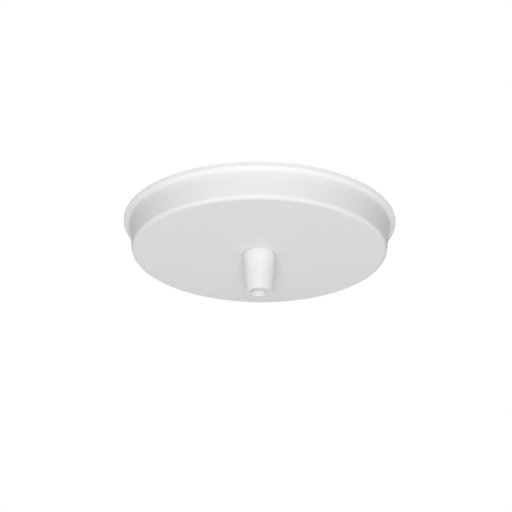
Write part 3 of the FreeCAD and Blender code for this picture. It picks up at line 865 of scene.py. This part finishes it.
def thread_tree():
    graph, size = node_tree("thread", THREAD_INPUTS)
    grid, turn, down = flat_grid(graph, size["Around"] + 1, size["Rows"])
    row = down * (size["Rows"] - 1)
    along = ((row - 1) / (size["Rows"] - 3)).math("MAXIMUM", 0.0).math("MINIMUM", 1.0)
    height = size["Top"] + (size["Bottom"] - size["Top"]) * along

    phase = (height / size["Pitch"] - turn).math("FRACT")
    ridge = (2 * phase - 1).math("ABSOLUTE") * (1 + 2 * CREST_FLAT) - CREST_FLAT
    ridge = ridge.math("MAXIMUM", 0.0).math("MINIMUM", 1.0)
    radius = size["Radius"] - size["Depth"] * (1 - ridge)
    for from_end in (size["Top"] - height, height - size["Bottom"]):
        radius = radius.math("MINIMUM", size["Radius"] - size["Bevel"] + from_end)

    first = row.math("LESS_THAN", 0.5)
    last = row.math("GREATER_THAN", size["Rows"] - 1.5)
    radius = radius + (size["Top Radius"] - radius) * first
    radius = radius + (size["Bottom Radius"] - radius) * last
    return wrap(graph, grid, radius, turn * (2 * math.pi), height, size["Material"])


def thread_rows(length, pitch):
    """The grid's rows for a thread, with one more at each end."""
    return int(length / pitch * ROWS_PER_TURN) + 3


THREAD = thread_tree()
print("thread tree", len(THREAD.nodes), "nodes")

# %% [markdown]
# The hollow tube
#
# The tube has a fine thread over its whole length, one millimetre to a turn. The tree gives the
# outside and the two end rings. Its two open rims have the same number of points, so one row of
# faces between them makes the bore.

# %% The tube
TUBE_PITCH = 1.0 * MM
TUBE_BEVEL = 0.4 * MM
TUBE_CREASE_DEGREES = 50


def close_rims(mesh):
    """Join the two open rims with faces, and turn every face outwards."""
    body = bmesh.new()
    body.from_mesh(mesh)
    bmesh.ops.bridge_loops(body, edges=[edge for edge in body.edges if edge.is_boundary])
    bmesh.ops.recalc_face_normals(body, faces=body.faces)
    body.to_mesh(mesh)
    body.free()


def add_tube():
    low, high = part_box("threaded_tube")
    bore = high.x - TUBE_WALL
    mesh = from_tree("tube", THREAD, {
        "Radius": high.x, "Depth": TUBE_PITCH * THREAD_SHARE, "Pitch": TUBE_PITCH,
        "Top": high.z, "Bottom": low.z, "Bevel": TUBE_BEVEL,
        "Top Radius": bore, "Bottom Radius": bore,
        "Around": SMALL_SEGMENTS, "Rows": thread_rows(high.z - low.z, TUBE_PITCH),
        "Material": NICKEL})
    close_rims(mesh)
    creased(mesh, NICKEL, TUBE_CREASE_DEGREES)
    stand_for(new_piece("tube", mesh), "threaded_tube")


add_tube()

# %% [markdown]
# A slotted head
#
# All nine screws are slotted. A slotted head is a disc with one straight cut, so its top is two
# D-shaped islands with a floor between them. A boolean cut would leave long thin faces that a
# bevel spoils, so the head is made face by face. Its rings all have as many points as the thread,
# and half of them lie on each side of the slot.

# %% Slotted head
SLOT_WIDTH = 0.6 * MM
SLOT_DEPTH = 0.7 * MM
SCREW_SEGMENTS = 48


def ring_points(body, angles, distance, z):
    return [body.verts.new((distance * math.cos(a), distance * math.sin(a), z)) for a in angles]


def slotted_head(body, radius, seat, bottom, neck):
    """Faces of a head between its seat and its bottom, open at the neck. The slot runs along Y."""
    half = SCREW_SEGMENTS // 2
    side = math.acos(SLOT_WIDTH / 2 / radius)
    right = [side * (2 * step / (half - 1) - 1) for step in range(half)]
    angles = right + [angle + math.pi for angle in right]
    even = [2 * math.pi * (index + 1 - half / 2) / SCREW_SEGMENTS for index in range(SCREW_SEGMENTS)]
    neck_ring = ring_points(body, even, neck, seat)
    seat_ring = ring_points(body, angles, radius, seat)
    floor_ring = ring_points(body, angles, radius, bottom + SLOT_DEPTH)
    low_ring = ring_points(body, angles, radius, bottom)
    for index in range(SCREW_SEGMENTS):
        after = (index + 1) % SCREW_SEGMENTS
        for first, last in ((neck_ring, seat_ring), (seat_ring, floor_ring)):
            body.faces.new((first[index], first[after], last[after], last[index]))
        if after not in (0, half):
            body.faces.new((floor_ring[index], floor_ring[after], low_ring[after], low_ring[index]))
    for first, last in ((0, half - 1), (half, SCREW_SEGMENTS - 1)):
        body.faces.new(low_ring[first:last + 1])
        body.faces.new((floor_ring[first], low_ring[first], low_ring[last], floor_ring[last]))
    body.faces.new((floor_ring[half - 1], floor_ring[half], floor_ring[-1], floor_ring[0]))


print("points round a screw", SCREW_SEGMENTS)

# %% [markdown]
# The screws
#
# Each screw is the thread tree's mesh with a slotted head below it, merged into one closed skin.
# Only the head's edges are rounded, so they are marked with a weight before the thread joins them.
# The six terminal screws and the two that hold the strip are plated steel, and the earth screw is
# brass, so that its wire doesn't corrode.

# %% Screws
SCREW_BEVEL = 0.4 * MM
SCREW_CREASE_DEGREES = 40
HEAD_MERGE = 0.002 * MM
SMALL_SCREW = {"pitch": 0.45 * MM, "thread_radius": 1.25 * MM, "material": ZINC_TURNED}
EARTH_SCREW = {"pitch": 0.7 * MM, "thread_radius": 2.0 * MM, "material": BRASS_SCREW}
TERMINAL_HEAD = 1.5 * MM
BLOCK_HEAD = 1.4 * MM
EARTH_HEAD = 1.8 * MM


def weigh_sharp_edges(body):
    """Mark the edges that the bevel has to round."""
    weights = body.edges.layers.float.new("bevel_weight_edge")
    for edge in body.edges:
        if len(edge.link_faces) == 2 and edge.calc_face_angle() > math.radians(SHARP_DEGREES):
            edge[weights] = 1


def add_screw(node, head_height, pitch, thread_radius, material):
    low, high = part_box(node)
    seat = low.z + head_height
    depth = pitch * THREAD_SHARE
    neck = thread_radius - depth
    thread = from_tree(node, THREAD, {
        "Radius": thread_radius, "Depth": depth, "Pitch": pitch,
        "Top": high.z, "Bottom": seat, "Bevel": SCREW_BEVEL,
        "Top Radius": 0.0, "Bottom Radius": neck,
        "Around": SCREW_SEGMENTS, "Rows": thread_rows(high.z - seat, pitch),
        "Material": material})
    body = bmesh.new()
    slotted_head(body, (high.x - low.x) / 2, seat, low.z, neck)
    bmesh.ops.recalc_face_normals(body, faces=body.faces)
    weigh_sharp_edges(body)
    body.from_mesh(thread)
    bmesh.ops.remove_doubles(body, verts=body.verts, dist=HEAD_MERGE)
    bmesh.ops.recalc_face_normals(body, faces=body.faces)
    mesh = bpy.data.meshes.new(node)
    body.to_mesh(mesh)
    body.free()
    host = new_piece(node, mesh)
    round_edges(host, TURNED_EDGE, FINE_BEVEL_STEPS, limit="WEIGHT")
    mesh = baked(host)
    mesh.transform(Matrix.Translation(((low.x + high.x) / 2, (low.y + high.y) / 2, 0)))
    creased(mesh, material, SCREW_CREASE_DEGREES)
    stand_for(new_piece(node + "_threaded", mesh), node)


for number in range(1, 7):
    add_screw(f"terminal_screw_{number}", TERMINAL_HEAD, **SMALL_SCREW)
for number in (1, 2):
    add_screw(f"block_screw_{number}", BLOCK_HEAD, **SMALL_SCREW)
add_screw("earth_screw", EARTH_HEAD, **EARTH_SCREW)

# %% [markdown]
# The toothed washer's rule
#
# A lock washer bites with a ring of small twisted teeth. Each tooth has eight columns of the grid:
# one for the ring on each side of it and six for the tooth, of which the outer two share their
# angle with the ring's. The rows go round the section: hole, root and outside along the bottom,
# then outside, root and hole along the top, and the hole again to close it. Only the columns of a
# tooth reach the outside, and there the section tilts with the tooth's twist.

# %% The washer tree
WASHER_INPUTS = {
    "Outside": "Float", "Root": "Float", "Hole": "Float", "Low": "Float", "High": "Float",
    "Notch": "Float", "Twist": "Float", "Teeth": "Int", "Material": "Material",
}
TOOTH_COLUMNS = 8
SECTION_ROWS = 7


def washer_tree():
    graph, size = node_tree("toothed_washer", WASHER_INPUTS)
    columns = size["Teeth"] * TOOTH_COLUMNS
    grid, around, section = flat_grid(graph, columns + 1, SECTION_ROWS)
    column = (around * columns).math("ROUND")
    tooth = (column / TOOTH_COLUMNS).math("FLOOR")
    step = column - tooth * TOOTH_COLUMNS
    across = (step - (TOOTH_COLUMNS - 1) / 2) / ((TOOTH_COLUMNS - 3) / 2)
    across = across.math("MINIMUM", 1.0).math("MAXIMUM", -1.0)
    in_tooth = step.math("GREATER_THAN", 0.5) * step.math("LESS_THAN", TOOTH_COLUMNS - 1.5)

    row = section * (SECTION_ROWS - 1)
    fold = (SECTION_ROWS - 2) / 2
    level = fold - (row - fold).math("ABSOLUTE")
    past_hole = level.math("GREATER_THAN", 0.5)
    past_root = level.math("GREATER_THAN", 1.5) * in_tooth
    top = row.math("GREATER_THAN", fold) * row.math("LESS_THAN", SECTION_ROWS - 1.5)

    half_notch = size["Notch"] / 2
    pitch = (2 * math.pi) / size["Teeth"]
    root_half = pitch / 2 - (half_notch / size["Root"]).math("ARCTANGENT")
    end_half = pitch / 2 - (half_notch / size["Outside"]).math("ARCSINE")
    angle = (tooth + 0.5) * pitch + across * (root_half + (end_half - root_half) * past_root)
    radius = size["Hole"] + (size["Root"] - size["Hole"]) * past_hole
    radius = radius + (size["Outside"] - size["Root"]) * past_root
    tilt = across * end_half * size["Outside"] * size["Twist"] * past_root
    height = size["Low"] + (size["High"] - size["Low"]) * top + tilt
    return wrap(graph, grid, radius, angle, height, size["Material"])


WASHER = washer_tree()
print("washer tree", len(WASHER.nodes), "nodes")

# %% [markdown]
# The toothed washer
#
# The washer is stamped from spring steel, so its notches are straight-sided and its edges only
# just broken. A very small bevel lets each tooth show as a bright line under the nut.

# %% Toothed washer
WASHER_TEETH = 14
NOTCH_WIDTH = 1.6 * MM
TOOTH_DEPTH = 1.9 * MM
TOOTH_TWIST = 0.16
TOOTH_EDGE = 0.06 * MM


def add_tooth_washer():
    low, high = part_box("tooth_washer")
    outside = high.y
    mesh = from_tree("toothed_washer", WASHER, {
        "Outside": outside, "Root": outside - TOOTH_DEPTH, "Hole": THREAD_RADIUS,
        "Low": low.z, "High": high.z, "Notch": NOTCH_WIDTH, "Twist": TOOTH_TWIST,
        "Teeth": WASHER_TEETH, "Material": ZINC_TURNED})
    host = new_piece("toothed_washer", mesh)
    round_edges(host, TOOTH_EDGE, FINE_BEVEL_STEPS)
    mesh = baked(host)
    creased(mesh, ZINC_TURNED)
    stand_for(new_piece("toothed_washer", mesh), "tooth_washer")


add_tooth_washer()
